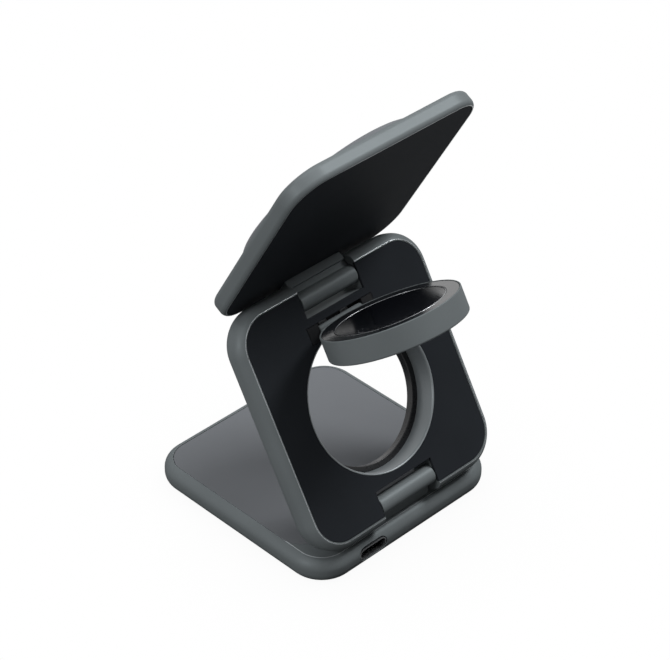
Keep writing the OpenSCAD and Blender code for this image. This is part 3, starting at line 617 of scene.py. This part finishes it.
class STAND_OT_base(bpy.types.Operator):
    """Models the base: its housing, the inset earbud pad and the rubber foot"""
    bl_idname = "stand.base"
    bl_label = "Base"

    def execute(self, context):
        s = sizes()
        shell, pad, foot = (Box(n) for n in ("base_housing", "base_pad", "foot_pad"))
        body = self.shell(s, shell, pad)
        self.socket(s, body, shell)
        hand_over(body, BASE, "base", "gunmetal", [anodised_metal(), painted_rim_highlight()], "base_housing")

        skin = slab("earbud_pad", pad, corner=s.bud_corner)
        bevel_edges(skin, lambda e: level(e, pad.high.z), s.panel_break)
        hand_over(skin, BASE, "base", "grey_pad", [soft_touch_pad()], "base_pad")

        sole = slab("rubber_foot", foot, corner=s.foot_corner)
        bevel_edges(sole, lambda e: level(e, foot.low.z), 2 * s.panel_break)
        hand_over(sole, BASE, "base", "foot_rubber", [rubber()], "foot_pad")
        return {"FINISHED"}

    def shell(self, s, shell, pad):
        """The housing without its socket: open below, with a recess for the pad and a slot for the web."""
        body = plate("base_shell", (shell.low.x, shell.low.y, 0), shell.high, s.base_corner, s.base_low_round,
                     s.base_top_round, cut_high=s.base_top_cut)
        # A band of painted highlight along the flat top's rim
        highlight_band(body, shell.high.z, s.highlight_band)
        cut_box(body, (shell.low.x - PAST, shell.low.y - PAST, -PAST),
                (shell.high.x + PAST, shell.high.y + PAST, shell.low.z))
        deck_under = Box("earbud_coil").high.z
        wall = s.base_wall
        combine(body, plate("hollow", (shell.low.x + wall, shell.low.y + wall, -PAST),
                            (shell.high.x - wall, shell.high.y - wall, deck_under), s.base_corner - wall))
        combine(body, slab("recess", pad, s.seam, s.bud_corner, pad.low.z, shell.high.z + PAST))
        front = Box("base_hinge_pin").mid.y - s.barrel_radius - s.seam
        half = s.anchor_width / 2 + s.seam
        return cut_box(body, (-half, front, 0), (half, front + s.web + 2 * s.seam, shell.high.z + PAST))

    def socket(self, s, body, shell):
        """The charging socket's mouth in the rear wall."""
        port = Box("usb_c_shell")
        gap = 2 * s.seam
        half = port.size.z / 2 + gap
        round_end = half - EPS / 4   # a hair less than half the height, which keeps the corners apart
        slot = plate("slot", (-port.size.x / 2 - gap, -half, -PAST),
                     (port.size.x / 2 + gap, half, port.size.y + PAST), round_end)
        combine(body, apply_to(slot, Matrix.Translation((port.mid.x, shell.high.y, port.mid.z))
                               @ Matrix.Rotation(QUARTER, 4, "X")))
        bevel_edges(body, lambda e: all(
            abs(v.co.x - port.mid.x) < port.size.x / 2 + 2 * gap and abs(v.co.z - port.mid.z) < half + gap
            and abs(v.co.y - shell.high.y) < EPS for v in e.verts), s.lip_break)


def barrel(name, s, pin):
    """A solid hinge barrel round a pin's axis, with its ends rounded off."""
    half = Box("base_knuckle").size.x / 2
    edge = s.edge_break
    obj = turned(name, [
        (0, -half), *arc((s.barrel_radius - edge, -half + edge), edge, -90, 0, BREAK_STEPS),
        *arc((s.barrel_radius - edge, half - edge), edge, 0, 90, BREAK_STEPS), (0, half)],
        closed=False, steps=BARREL_STEPS)
    apply_to(obj, Matrix.Rotation(QUARTER, 4, "Y"))
    shift(obj, pin.mid.y, pin.mid.z)
    return obj


def bore(obj, s, pin):
    """Bores an object for a hinge pin, with a running gap."""
    return drill(obj, pin.size.z / 2 + s.seam / 2, pin.low.x, pin.high.x, (pin.mid.y, pin.mid.z), "X",
                 BARREL_STEPS)


def soft_block(name, low, high, width):
    """A box with every edge broken."""
    return bevel_edges(block(name, low, high), lambda e: True, width)


class STAND_OT_knuckles(bpy.types.Operator):
    """Models the two hinge knuckles: the barrels with the web and blocks that carry them"""
    bl_idname = "stand.knuckles"
    bl_label = "Hinge knuckles"

    def execute(self, context):
        self.base_knuckle(sizes())
        self.phone_knuckle(sizes())
        return {"FINISHED"}

    def base_knuckle(self, s):
        """The barrel on the base's rear edge, on an upright web that is anchored under the deck."""
        box, pin, shell = Box("base_knuckle"), Box("base_hinge_pin"), Box("base_housing")
        half, narrow = box.size.x / 2, s.anchor_width / 2
        web_y = pin.mid.y - s.barrel_radius
        web = soft_block("web", (-half, web_y, shell.high.z), (half, web_y + s.web, pin.mid.z), s.edge_break)
        join(web, block("root", (-narrow, web_y, box.low.z), (narrow, web_y + s.web, shell.high.z + s.web)))
        join(web, block("anchor", (-narrow, box.low.y, box.low.z),
                        (narrow, web_y + s.web / 2, box.low.z + s.anchor_thickness)))
        body = barrel("base_hinge_knuckle", s, pin)
        bore(join(body, web), s, pin)
        hand_over(body, BASE, "base", "gunmetal", [anodised_metal()], "base_knuckle")

    def phone_knuckle(self, s):
        """The barrel at the arm's upper end, with the foot block that clamps the phone panel."""
        box, pin = Box("phone_knuckle", PHONE_FACE), Box("phone_hinge_pin", PHONE_FACE)
        half = Box("base_knuckle").size.x / 2
        low = s.tenon_height - s.foot_block_depth + s.seam
        body = barrel("phone_hinge_knuckle", s, pin)
        join(body, soft_block("web", (-half, low, pin.mid.z),
                              (half, low + s.neck_depth, -s.foot_block_height / 2), s.edge_break))
        join(body, soft_block("foot_block", (-half, low, -s.foot_block_height),
                              (half, low + s.foot_block_depth, 0), s.edge_break))
        flange = block("flange", (box.low.x, 0, box.high.z - s.flange_thickness), box.high)
        join(flange, block("tenon", (-s.tenon_width / 2, 0, -s.foot_block_height / 2),
                           (s.tenon_width / 2, s.tenon_height, box.high.z - s.flange_thickness / 2)))
        bore(join(body, flange), s, pin)
        hand_over(body, PHONE_FACE, "phone_panel", "gunmetal", [anodised_metal()], "phone_knuckle")


class STAND_OT_arm(bpy.types.Operator):
    """Models the arm: its frame, the inset back panel, and the ring and lip of its round hole"""
    bl_idname = "stand.arm"
    bl_label = "Arm"

    def execute(self, context):
        s = sizes()
        box, panel, ring, lip = (
            Box(n, ARM_FACE) for n in ("arm_frame", "arm_back_panel", "bore_ring", "seat_lip"))
        centre = (0, lip.mid.y)
        body = plate("arm_shell", box.low, box.high, s.arm_corner, s.arm_back_round, s.arm_front_round,
                     s.arm_back_cut)
        # A band of painted highlight along the flat back's rim
        highlight_band(body, 0, s.highlight_band)
        border = panel.low.x - box.low.x
        combine(body, slab("recess", panel, s.seam, s.arm_corner - border, -PAST, panel.high.z))
        drill(body, ring.size.x / 2 + s.seam / 2, -PAST, box.high.z + PAST, centre)
        self.notches(s, body, box)
        self.pockets(s, body, lip)
        for name in ("base_hinge_pin", "phone_hinge_pin"):
            pin = Box(name, ARM_FACE)
            drill(body, pin.size.y / 2 + s.seam / 2, pin.low.x - s.seam, pin.high.x + s.seam,
                  (pin.mid.y, pin.mid.z), "X", PIN_STEPS)
        self.cable_channel(s, body)
        hand_over(body, ARM_FACE, "arm", "gunmetal", [anodised_metal(), painted_rim_highlight()], "arm_frame")

        skin = slab("arm_rear_panel", panel, 0, s.arm_corner - border)
        drill(skin, ring.size.x / 2 + s.seam, -PAST, panel.high.z + PAST, centre)
        self.notches(s, skin, box)
        self.pockets(s, skin, lip)
        bevel_edges(skin, lambda e: level(e, 0), s.panel_break, segments=2)
        hand_over(skin, ARM_FACE, "arm", "black_panel", [moulded_black()], "arm_back_panel")
        self.ring(s, ring, lip)
        return {"FINISHED"}

    def notches(self, s, obj, box):
        """Cuts the two hinge notches."""
        half = Box("base_knuckle").size.x / 2 + s.notch_gap
        for low, high in ((box.low.y - PAST, box.low.y + s.notch_depth),
                          (box.high.y - s.notch_depth, box.high.y + PAST)):
            cut_box(obj, (-half, low, -PAST), (half, high, box.high.z + PAST))

    def pockets(self, s, obj, lip):
        """Cuts the watch bracket's pocket and the slot that its lug swings through."""
        bracket = Box("watch_bracket", ARM_FACE)
        axis = Box("watch_hinge_pin", ARM_FACE).mid.y
        hair = s.seam / 10   # keeps the pocket's floor off the bracket's face
        cut_box(obj, (bracket.low.x - s.seam, bracket.low.y - s.seam, -PAST),
                (bracket.high.x + s.seam, bracket.high.y + s.seam, bracket.high.z + hair))
        half = s.lug_width / 2 + s.notch_gap
        cut_box(obj, (-half, lip.mid.y, -PAST), (half, axis, s.lug_depth))

    def cable_channel(self, s, body):
        """Cuts the flat cable's channel, a C that runs past the hole."""
        flat = Box("arm_flex", ARM_FACE)
        low, high = flat.low - Vector.Fill(3, s.seam), flat.high + Vector.Fill(3, s.seam)
        wide = s.cable_width + 2 * s.seam
        low.z = -s.seam
        cut_box(body, low, (low.x + wide, high.y, high.z))
        cut_box(body, low, (high.x, low.y + wide, high.z))
        cut_box(body, (low.x, high.y - wide, low.z), high)

    def ring(self, s, ring, lip):
        """The metal ring that lines the hole, and the dark lip at its front that the charger rests on."""
        outer, inner, deep = ring.size.x / 2, ring.size.x / 2 - s.ring_wall, ring.high.z
        turns = [QUARTER * i / RIM_STEPS for i in range(RIM_STEPS + 1)]
        flare = [(inner + s.ring_flare * (1 - math.cos(t)), s.ring_flare_depth * (1 - math.sin(t)))
                 for t in turns]
        lining = turned("hole_lining", [(outer, 0), (outer, deep), (inner, deep), *flare])
        shift(lining, lip.mid.y)
        half = s.lug_width / 2 + s.notch_gap
        cut_box(lining, (-half, lip.mid.y, -PAST), (half, lip.mid.y + 2 * outer, s.lug_depth))
        hand_over(lining, ARM_FACE, "arm", "bore_grey", [turned_metal()], "bore_ring")
        top, edge = lip.high.z, s.edge_break
        inside = Box("watch_housing", DISC).size.x / 2 - s.seat_width
        seat = turned("hole_lip", [
            (outer, deep), (outer, top - edge), (outer - edge, top),
            *arc((inside + edge, top - edge), edge, 90, 180, BREAK_STEPS),
            *arc((inside + edge, deep + edge), edge, 180, 270, BREAK_STEPS)])
        shift(seat, lip.mid.y)
        hand_over(seat, ARM_FACE, "arm", "black_trim", [polished_trim()], "seat_lip")


class STAND_OT_phone_panel(bpy.types.Operator):
    """Models the phone panel: its frame, the inset back panel and the raised round pad"""
    bl_idname = "stand.phone_panel"
    bl_label = "Phone panel"

    def execute(self, context):
        s = sizes()
        box, panel, pad = (Box(n, PHONE_FACE) for n in ("phone_frame", "phone_back_panel", "phone_pad"))
        body = plate("phone_shell", box.low, box.high, s.phone_corner, s.phone_back_round,
                     s.phone_front_round, s.phone_back_cut)
        # A band of painted highlight along the flat back's rim
        highlight_band(body, 0, s.highlight_band)
        border = panel.low.x - box.low.x
        combine(body, slab("recess", panel, s.seam, s.phone_corner - border, -PAST, panel.high.z))
        floor = box.high.z - s.phone_front_wall
        combine(body, slab("hollow", box, -s.phone_wall, s.phone_corner, 0, floor))
        spigot = pad.size.x / 2 - s.pad_overhang
        drill(body, spigot + s.seam, 0, box.high.z + PAST, (0, pad.mid.y))
        for side in (-1, 1):
            join(body, drum("post", s.post_radius, panel.high.z + s.flange_thickness,
                            floor + s.phone_front_wall / 2, (side * s.post_across, s.post_up), "Z",
                            POST_STEPS))
        hand_over(body, PHONE_FACE, "phone_panel", "gunmetal", [anodised_metal(), painted_rim_highlight()], "phone_frame")

        skin = slab("phone_rear_panel", panel, 0, s.phone_corner - border)
        half = s.tenon_width / 2 + s.seam
        cut_box(skin, (-half, -s.seam, -PAST), (half, s.tenon_height + s.seam, panel.high.z + PAST))
        bevel_edges(skin, lambda e: level(e, 0), s.panel_break, segments=2)
        hand_over(skin, PHONE_FACE, "phone_panel", "black_panel", [moulded_black()], "phone_back_panel")
        self.pad(s, box, pad, spigot)
        return {"FINISHED"}

    def pad(self, s, box, pad, spigot):
        """The raised pad: a soft skin with a round edge, on a spigot that drops into the panel."""
        radius, under, top = pad.size.x / 2, box.high.z, pad.high.z
        inner, ceiling = spigot - s.pad_skin / 2, top - s.pad_skin
        skin = turned("phone_rest_pad", [
            (0, ceiling), (inner, ceiling), (inner, pad.low.z), (spigot, pad.low.z), (spigot, under),
            (radius, under), *arc((radius - s.pad_round, top - s.pad_round), s.pad_round, 0, 90, PAD_STEPS),
            (0, top)], closed=False)
        shift(skin, pad.mid.y)
        hand_over(skin, PHONE_FACE, "phone_panel", "grey_pad", [soft_touch_pad()], "phone_pad")


class STAND_OT_watch_charger(bpy.types.Operator):
    """Models the watch charger: its housing with the hinge lug, the ring, the bright trim and the dish"""
    bl_idname = "stand.watch_charger"
    bl_label = "Watch charger"

    def execute(self, context):
        s = sizes()
        box, ring, trim, cap, board, dish = (Box(n, DISC) for n in (
            "watch_housing", "watch_bezel", "watch_trim", "watch_cap", "watch_board", "watch_dish"))
        self.housing(s, box, ring, cap, board)
        outer, hole = ring.size.x / 2, trim.size.x / 2 + s.seam / 2
        edge = s.disc_lip / 2
        band = turned("charger_ring", [
            (hole, ring.low.z), (outer, ring.low.z), (outer, ring.high.z - edge), (outer - edge, ring.high.z),
            (hole + edge, ring.high.z), (hole, ring.high.z - edge)])
        hand_over(band, DISC, "watch_charger", "gunmetal", [satin_ring()], "watch_bezel")
        rim, inside = trim.size.x / 2, dish.size.x / 2 + s.seam / 2
        bead = turned("dish_trim", [
            (inside, trim.low.z), (rim, trim.low.z), (rim, trim.high.z - edge),
            *arc(((rim + inside) / 2, trim.high.z - edge), (rim - inside) / 2, 0, 180, BEAD_STEPS)])
        hand_over(bead, DISC, "watch_charger", "steel", [bright_metal()], "watch_trim")
        self.dish(s, dish)
        return {"FINISHED"}

    def housing(self, s, box, ring, cap, board):
        """The round housing, open above for the ring and below for its cap, with the lug on its rim."""
        radius, top = box.size.x / 2, box.high.z
        edge, lip, seat = s.disc_edge, s.disc_lip, ring.size.x / 2 + s.seam / 2
        body = turned("charger_housing", [
            (0, cap.high.z), (cap.size.x / 2 + s.seam, cap.high.z), (cap.size.x / 2 + s.seam, 0),
            *arc((radius - edge, edge), edge, -90, 0, EDGE_STEPS),
            *arc((radius - lip, top - lip), lip, 0, 90, RIM_STEPS),
            (seat, top), (seat, ring.low.z), (radius - s.disc_wall, ring.low.z),
            (radius - s.disc_wall, board.low.z), (0, board.low.z)], closed=False)
        axis = DISC.inverted() @ WATCH_HINGE
        pin, centre = Box("watch_hinge_pin", DISC), (axis.y, axis.z)
        half = s.lug_width / 2
        lug = soft_block("lug", (-half, axis.y, axis.z - s.lug_radius),
                         (half, -radius + PAST, top - 2 * lip - s.seam), s.edge_break / 2)
        join(lug, drum("lug_end", s.lug_radius, -half, half, centre, "X", PIN_STEPS))
        drill(lug, pin.size.z / 2 + s.seam / 2, -half - PAST, half + PAST, centre, "X", POST_STEPS)
        drill(lug, radius - s.disc_wall / 2, -PAST, top + PAST)
        join(body, lug)
        hand_over(body, DISC, "watch_charger", "gunmetal", [anodised_metal()], "watch_housing")

    def dish(self, s, dish):
        """The concave dish: a shallow bowl of dark gloss."""
        radius, edge = dish.size.x / 2, dish.high.z
        bowl = (radius ** 2 + s.dish_hollow ** 2) / (2 * s.dish_hollow)
        centre = edge - s.dish_hollow + bowl
        radii = [radius * (1 - i / DISH_STEPS) for i in range(DISH_STEPS + 1)]
        hollow = [(r, centre - math.sqrt(bowl ** 2 - r ** 2)) for r in radii]
        glass = turned("watch_dish_glass", [(0, dish.low.z), (radius, dish.low.z), *hollow], closed=False)
        hand_over(glass, DISC, "watch_charger", "dark_glass", [gloss_dish()], "watch_dish")


class STAND_OT_carried_over(bpy.types.Operator):
    """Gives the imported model's own pieces their finishes"""
    bl_idname = "stand.carried_over"
    bl_label = "Carried-over pieces"

    def execute(self, context):
        finishes = {
            "gunmetal": anodised_metal, "grey_pad": soft_touch_pad, "bore_grey": turned_metal,
            "black_panel": moulded_black, "black_trim": black_trim, "foot_rubber": rubber,
            "dark_glass": gloss_dish, "steel": bright_metal, "magnet": bright_metal, "copper": copper_wire,
            "ferrite": pressed_ferrite, "board": solder_mask, "flex": amber_film,
        }
        for row in frame["record"]["subparts"]:
            node = frame["nodes"][row["node"]]
            node.data.materials.clear()
            node.data.materials.append(finishes[row["material_slot"]]())
        return {"FINISHED"}


class STAND_OT_stage(bpy.types.Operator):
    """Sets the floor, the backdrop, the lights and the camera"""
    bl_idname = "stand.stage"
    bl_label = "Stage"

    # Each soft light's name, its place and the length of its sides, in metres
    LAMPS = (
        ("top", (0.1, -0.05, 0.9), 0.8),
        ("side", (0.85, -0.05, 0.5), 0.4),
        ("high", (-0.5, 0.2, 0.72), 0.3),
    )
    LIT = Vector((0, 0, 0.05))        # where the lights point
    FLOOR_SIZE = 6
    FLOOR_GREY = (0.1, 0.1, 0.1, 1)   # what the floor throws back on the stand
    SHADOW_REACH, SHADOW_SAMPLES = 40 * MM, 8
    REFLECTED_FALL = 4.0              # how fast the floor's reflection darkens towards the stand
    # The photograph's view, from a fit to the outlines of the main pieces: degrees, metres and millimetres
    AZIMUTH, ELEVATION, DISTANCE = 135.566, 36.573, 0.61332
    TARGET = Vector((0, 0.00433, 0.04926))
    LENS, SENSOR = 136.4, 36
    CLIP = (0.01, 20)

    def execute(self, context):
        scene = context.scene
        settings = scene.stand_stage
        scene.view_settings.view_transform = "Standard"
        self.floor(settings)
        self.world(settings)
        self.camera()
        for name, place, size in self.LAMPS:
            self.lamp(f"{name}_light", place, size, getattr(settings, f"{name}_power"))
        return {"FINISHED"}

    def seen(self, tree):
        """1 for camera, glossy and transmission rays, which meet a plain white studio, and 0 for the rest."""
        path = add(tree, "ShaderNodeLightPath")
        either = add(tree, "ShaderNodeMath", {"operation": "MAXIMUM"},
                     {0: path.outputs["Is Camera Ray"], 1: path.outputs["Is Glossy Ray"]}).outputs[0]
        return add(tree, "ShaderNodeMath", {"operation": "MAXIMUM"},
                   {0: either, 1: path.outputs["Is Transmission Ray"]}).outputs[0]

    def floor(self, settings):
        """A white floor with a faint shadow close to the stand. From below it is clear, so the foot shows."""
        fresh()
        bpy.ops.mesh.primitive_plane_add(size=self.FLOOR_SIZE, location=(0, 0, -EPS))
        ground = bpy.context.object   # a hair below the foot, so that the two faces don't coincide
        ground.name = "floor"
        paper = bpy.data.materials.new("white_card_floor")
        tree = empty_tree(paper)
        near = add(tree, "ShaderNodeAmbientOcclusion",
                   {"Distance": self.SHADOW_REACH, "samples": self.SHADOW_SAMPLES}).outputs["AO"]
        # Beside the stand about half of the floor's view is blocked, which gives the full shadow.
        level = remap(tree, near, 0, 1, 1 - 2 * settings.floor_shadow, 1)
        fall = {"operation": "POWER", 1: self.REFLECTED_FALL}
        dark = add(tree, "ShaderNodeMath", fall, {0: near}).outputs[0]
        direct = add(tree, "ShaderNodeLightPath").outputs["Is Camera Ray"]
        strength = add(tree, "ShaderNodeMix", None, {"Factor": direct, 2: dark, 3: level}).outputs[0]
        white = add(tree, "ShaderNodeEmission", {"Color": (1, 1, 1, 1)}, {"Strength": strength}).outputs[0]
        matt = add(tree, "ShaderNodeBsdfDiffuse", {"Color": self.FLOOR_GREY}).outputs[0]
        mixed = add(tree, "ShaderNodeMixShader", None, {0: self.seen(tree), 1: matt, 2: white}).outputs[0]
        below = add(tree, "ShaderNodeNewGeometry").outputs["Backfacing"]
        clear = add(tree, "ShaderNodeBsdfTransparent").outputs[0]
        one_sided = add(tree, "ShaderNodeMixShader", None, {0: below, 1: mixed, 2: clear}).outputs[0]
        add(tree, "ShaderNodeOutputMaterial", None, {"Surface": one_sided})
        ground.data.materials.append(paper)

    def world(self, settings):
        """White surroundings: full for what is seen or mirrored, faint for the light that they throw."""
        world = bpy.data.worlds.new("studio")
        bpy.context.scene.world = world
        tree = empty_tree(world)
        soft, white = (add(tree, "ShaderNodeBackground", {"Color": (1, 1, 1, 1), "Strength": s}).outputs[0]
                       for s in (settings.world_level, 1.0))
        mixed = add(tree, "ShaderNodeMixShader", None, {0: self.seen(tree), 1: soft, 2: white}).outputs[0]
        add(tree, "ShaderNodeOutputWorld", None, {"Surface": mixed})

    def camera(self):
        """The camera, at the photograph's view."""
        azimuth, elevation = math.radians(self.AZIMUTH), math.radians(self.ELEVATION)
        back = Vector((math.sin(azimuth) * math.cos(elevation), -math.cos(azimuth) * math.cos(elevation),
                       math.sin(elevation)))
        fresh()
        bpy.ops.object.camera_add(location=self.TARGET + back * self.DISTANCE)
        view = self.aimed("product_camera", -back)
        view.data.sensor_width = self.SENSOR
        view.data.lens = self.LENS
        view.data.clip_start, view.data.clip_end = self.CLIP
        bpy.context.scene.camera = view

    def lamp(self, name, place, size, power):
        """A square soft light that points at the stand."""
        fresh()
        bpy.ops.object.light_add(type="AREA", location=place)
        light = self.aimed(name, self.LIT - Vector(place))
        light.data.shape = "SQUARE"
        light.data.size = size
        light.data.energy = power

    def aimed(self, name, direction):
        """The camera or light added last, under a name and turned to face a direction."""
        obj = bpy.context.object
        obj.name = name
        obj.rotation_mode = "QUATERNION"
        obj.rotation_quaternion = direction.to_track_quat("-Z", "Y")
        return obj


class STAND_PT_panel(bpy.types.Panel):
    """Lists the steps that build the stand"""
    bl_idname = "STAND_PT_panel"
    bl_label = "Charging Stand"
    bl_space_type = "VIEW_3D"
    bl_region_type = "UI"
    bl_category = "Charging Stand"

    def draw(self, context):
        for step in STEPS:
            self.layout.operator(step.bl_idname)
        for group in GROUPS:
            holder = getattr(context.scene, group)
            box = self.layout.box()
            for name in type(holder).__annotations__:
                box.prop(holder, name)


GROUPS = {"stand_sizes": StandSizes, "stand_colours": StandColours, "stand_stage": StageSettings}
STEPS = (STAND_OT_carried_over, STAND_OT_base, STAND_OT_knuckles, STAND_OT_arm, STAND_OT_phone_panel,
         STAND_OT_watch_charger, STAND_OT_stage)
CLASSES = (*GROUPS.values(), *STEPS, STAND_PT_panel)


def register():
    """Registers the classes and gives each scene their settings."""
    for cls in CLASSES:
        bpy.utils.register_class(cls)
    for name, group in GROUPS.items():
        setattr(bpy.types.Scene, name, PointerProperty(type=group))


def unregister():
    """Takes the settings and the classes away again."""
    for name in GROUPS:
        delattr(bpy.types.Scene, name)
    for cls in reversed(CLASSES):
        bpy.utils.unregister_class(cls)


def main():
    """Builds the stand step by step."""
    register()
    bpy.ops.stand.carried_over()
    bpy.ops.stand.base()
    bpy.ops.stand.knuckles()
    bpy.ops.stand.arm()
    bpy.ops.stand.phone_panel()
    bpy.ops.stand.watch_charger()
    bpy.ops.stand.stage()


if __name__ == "__main__":
    main()
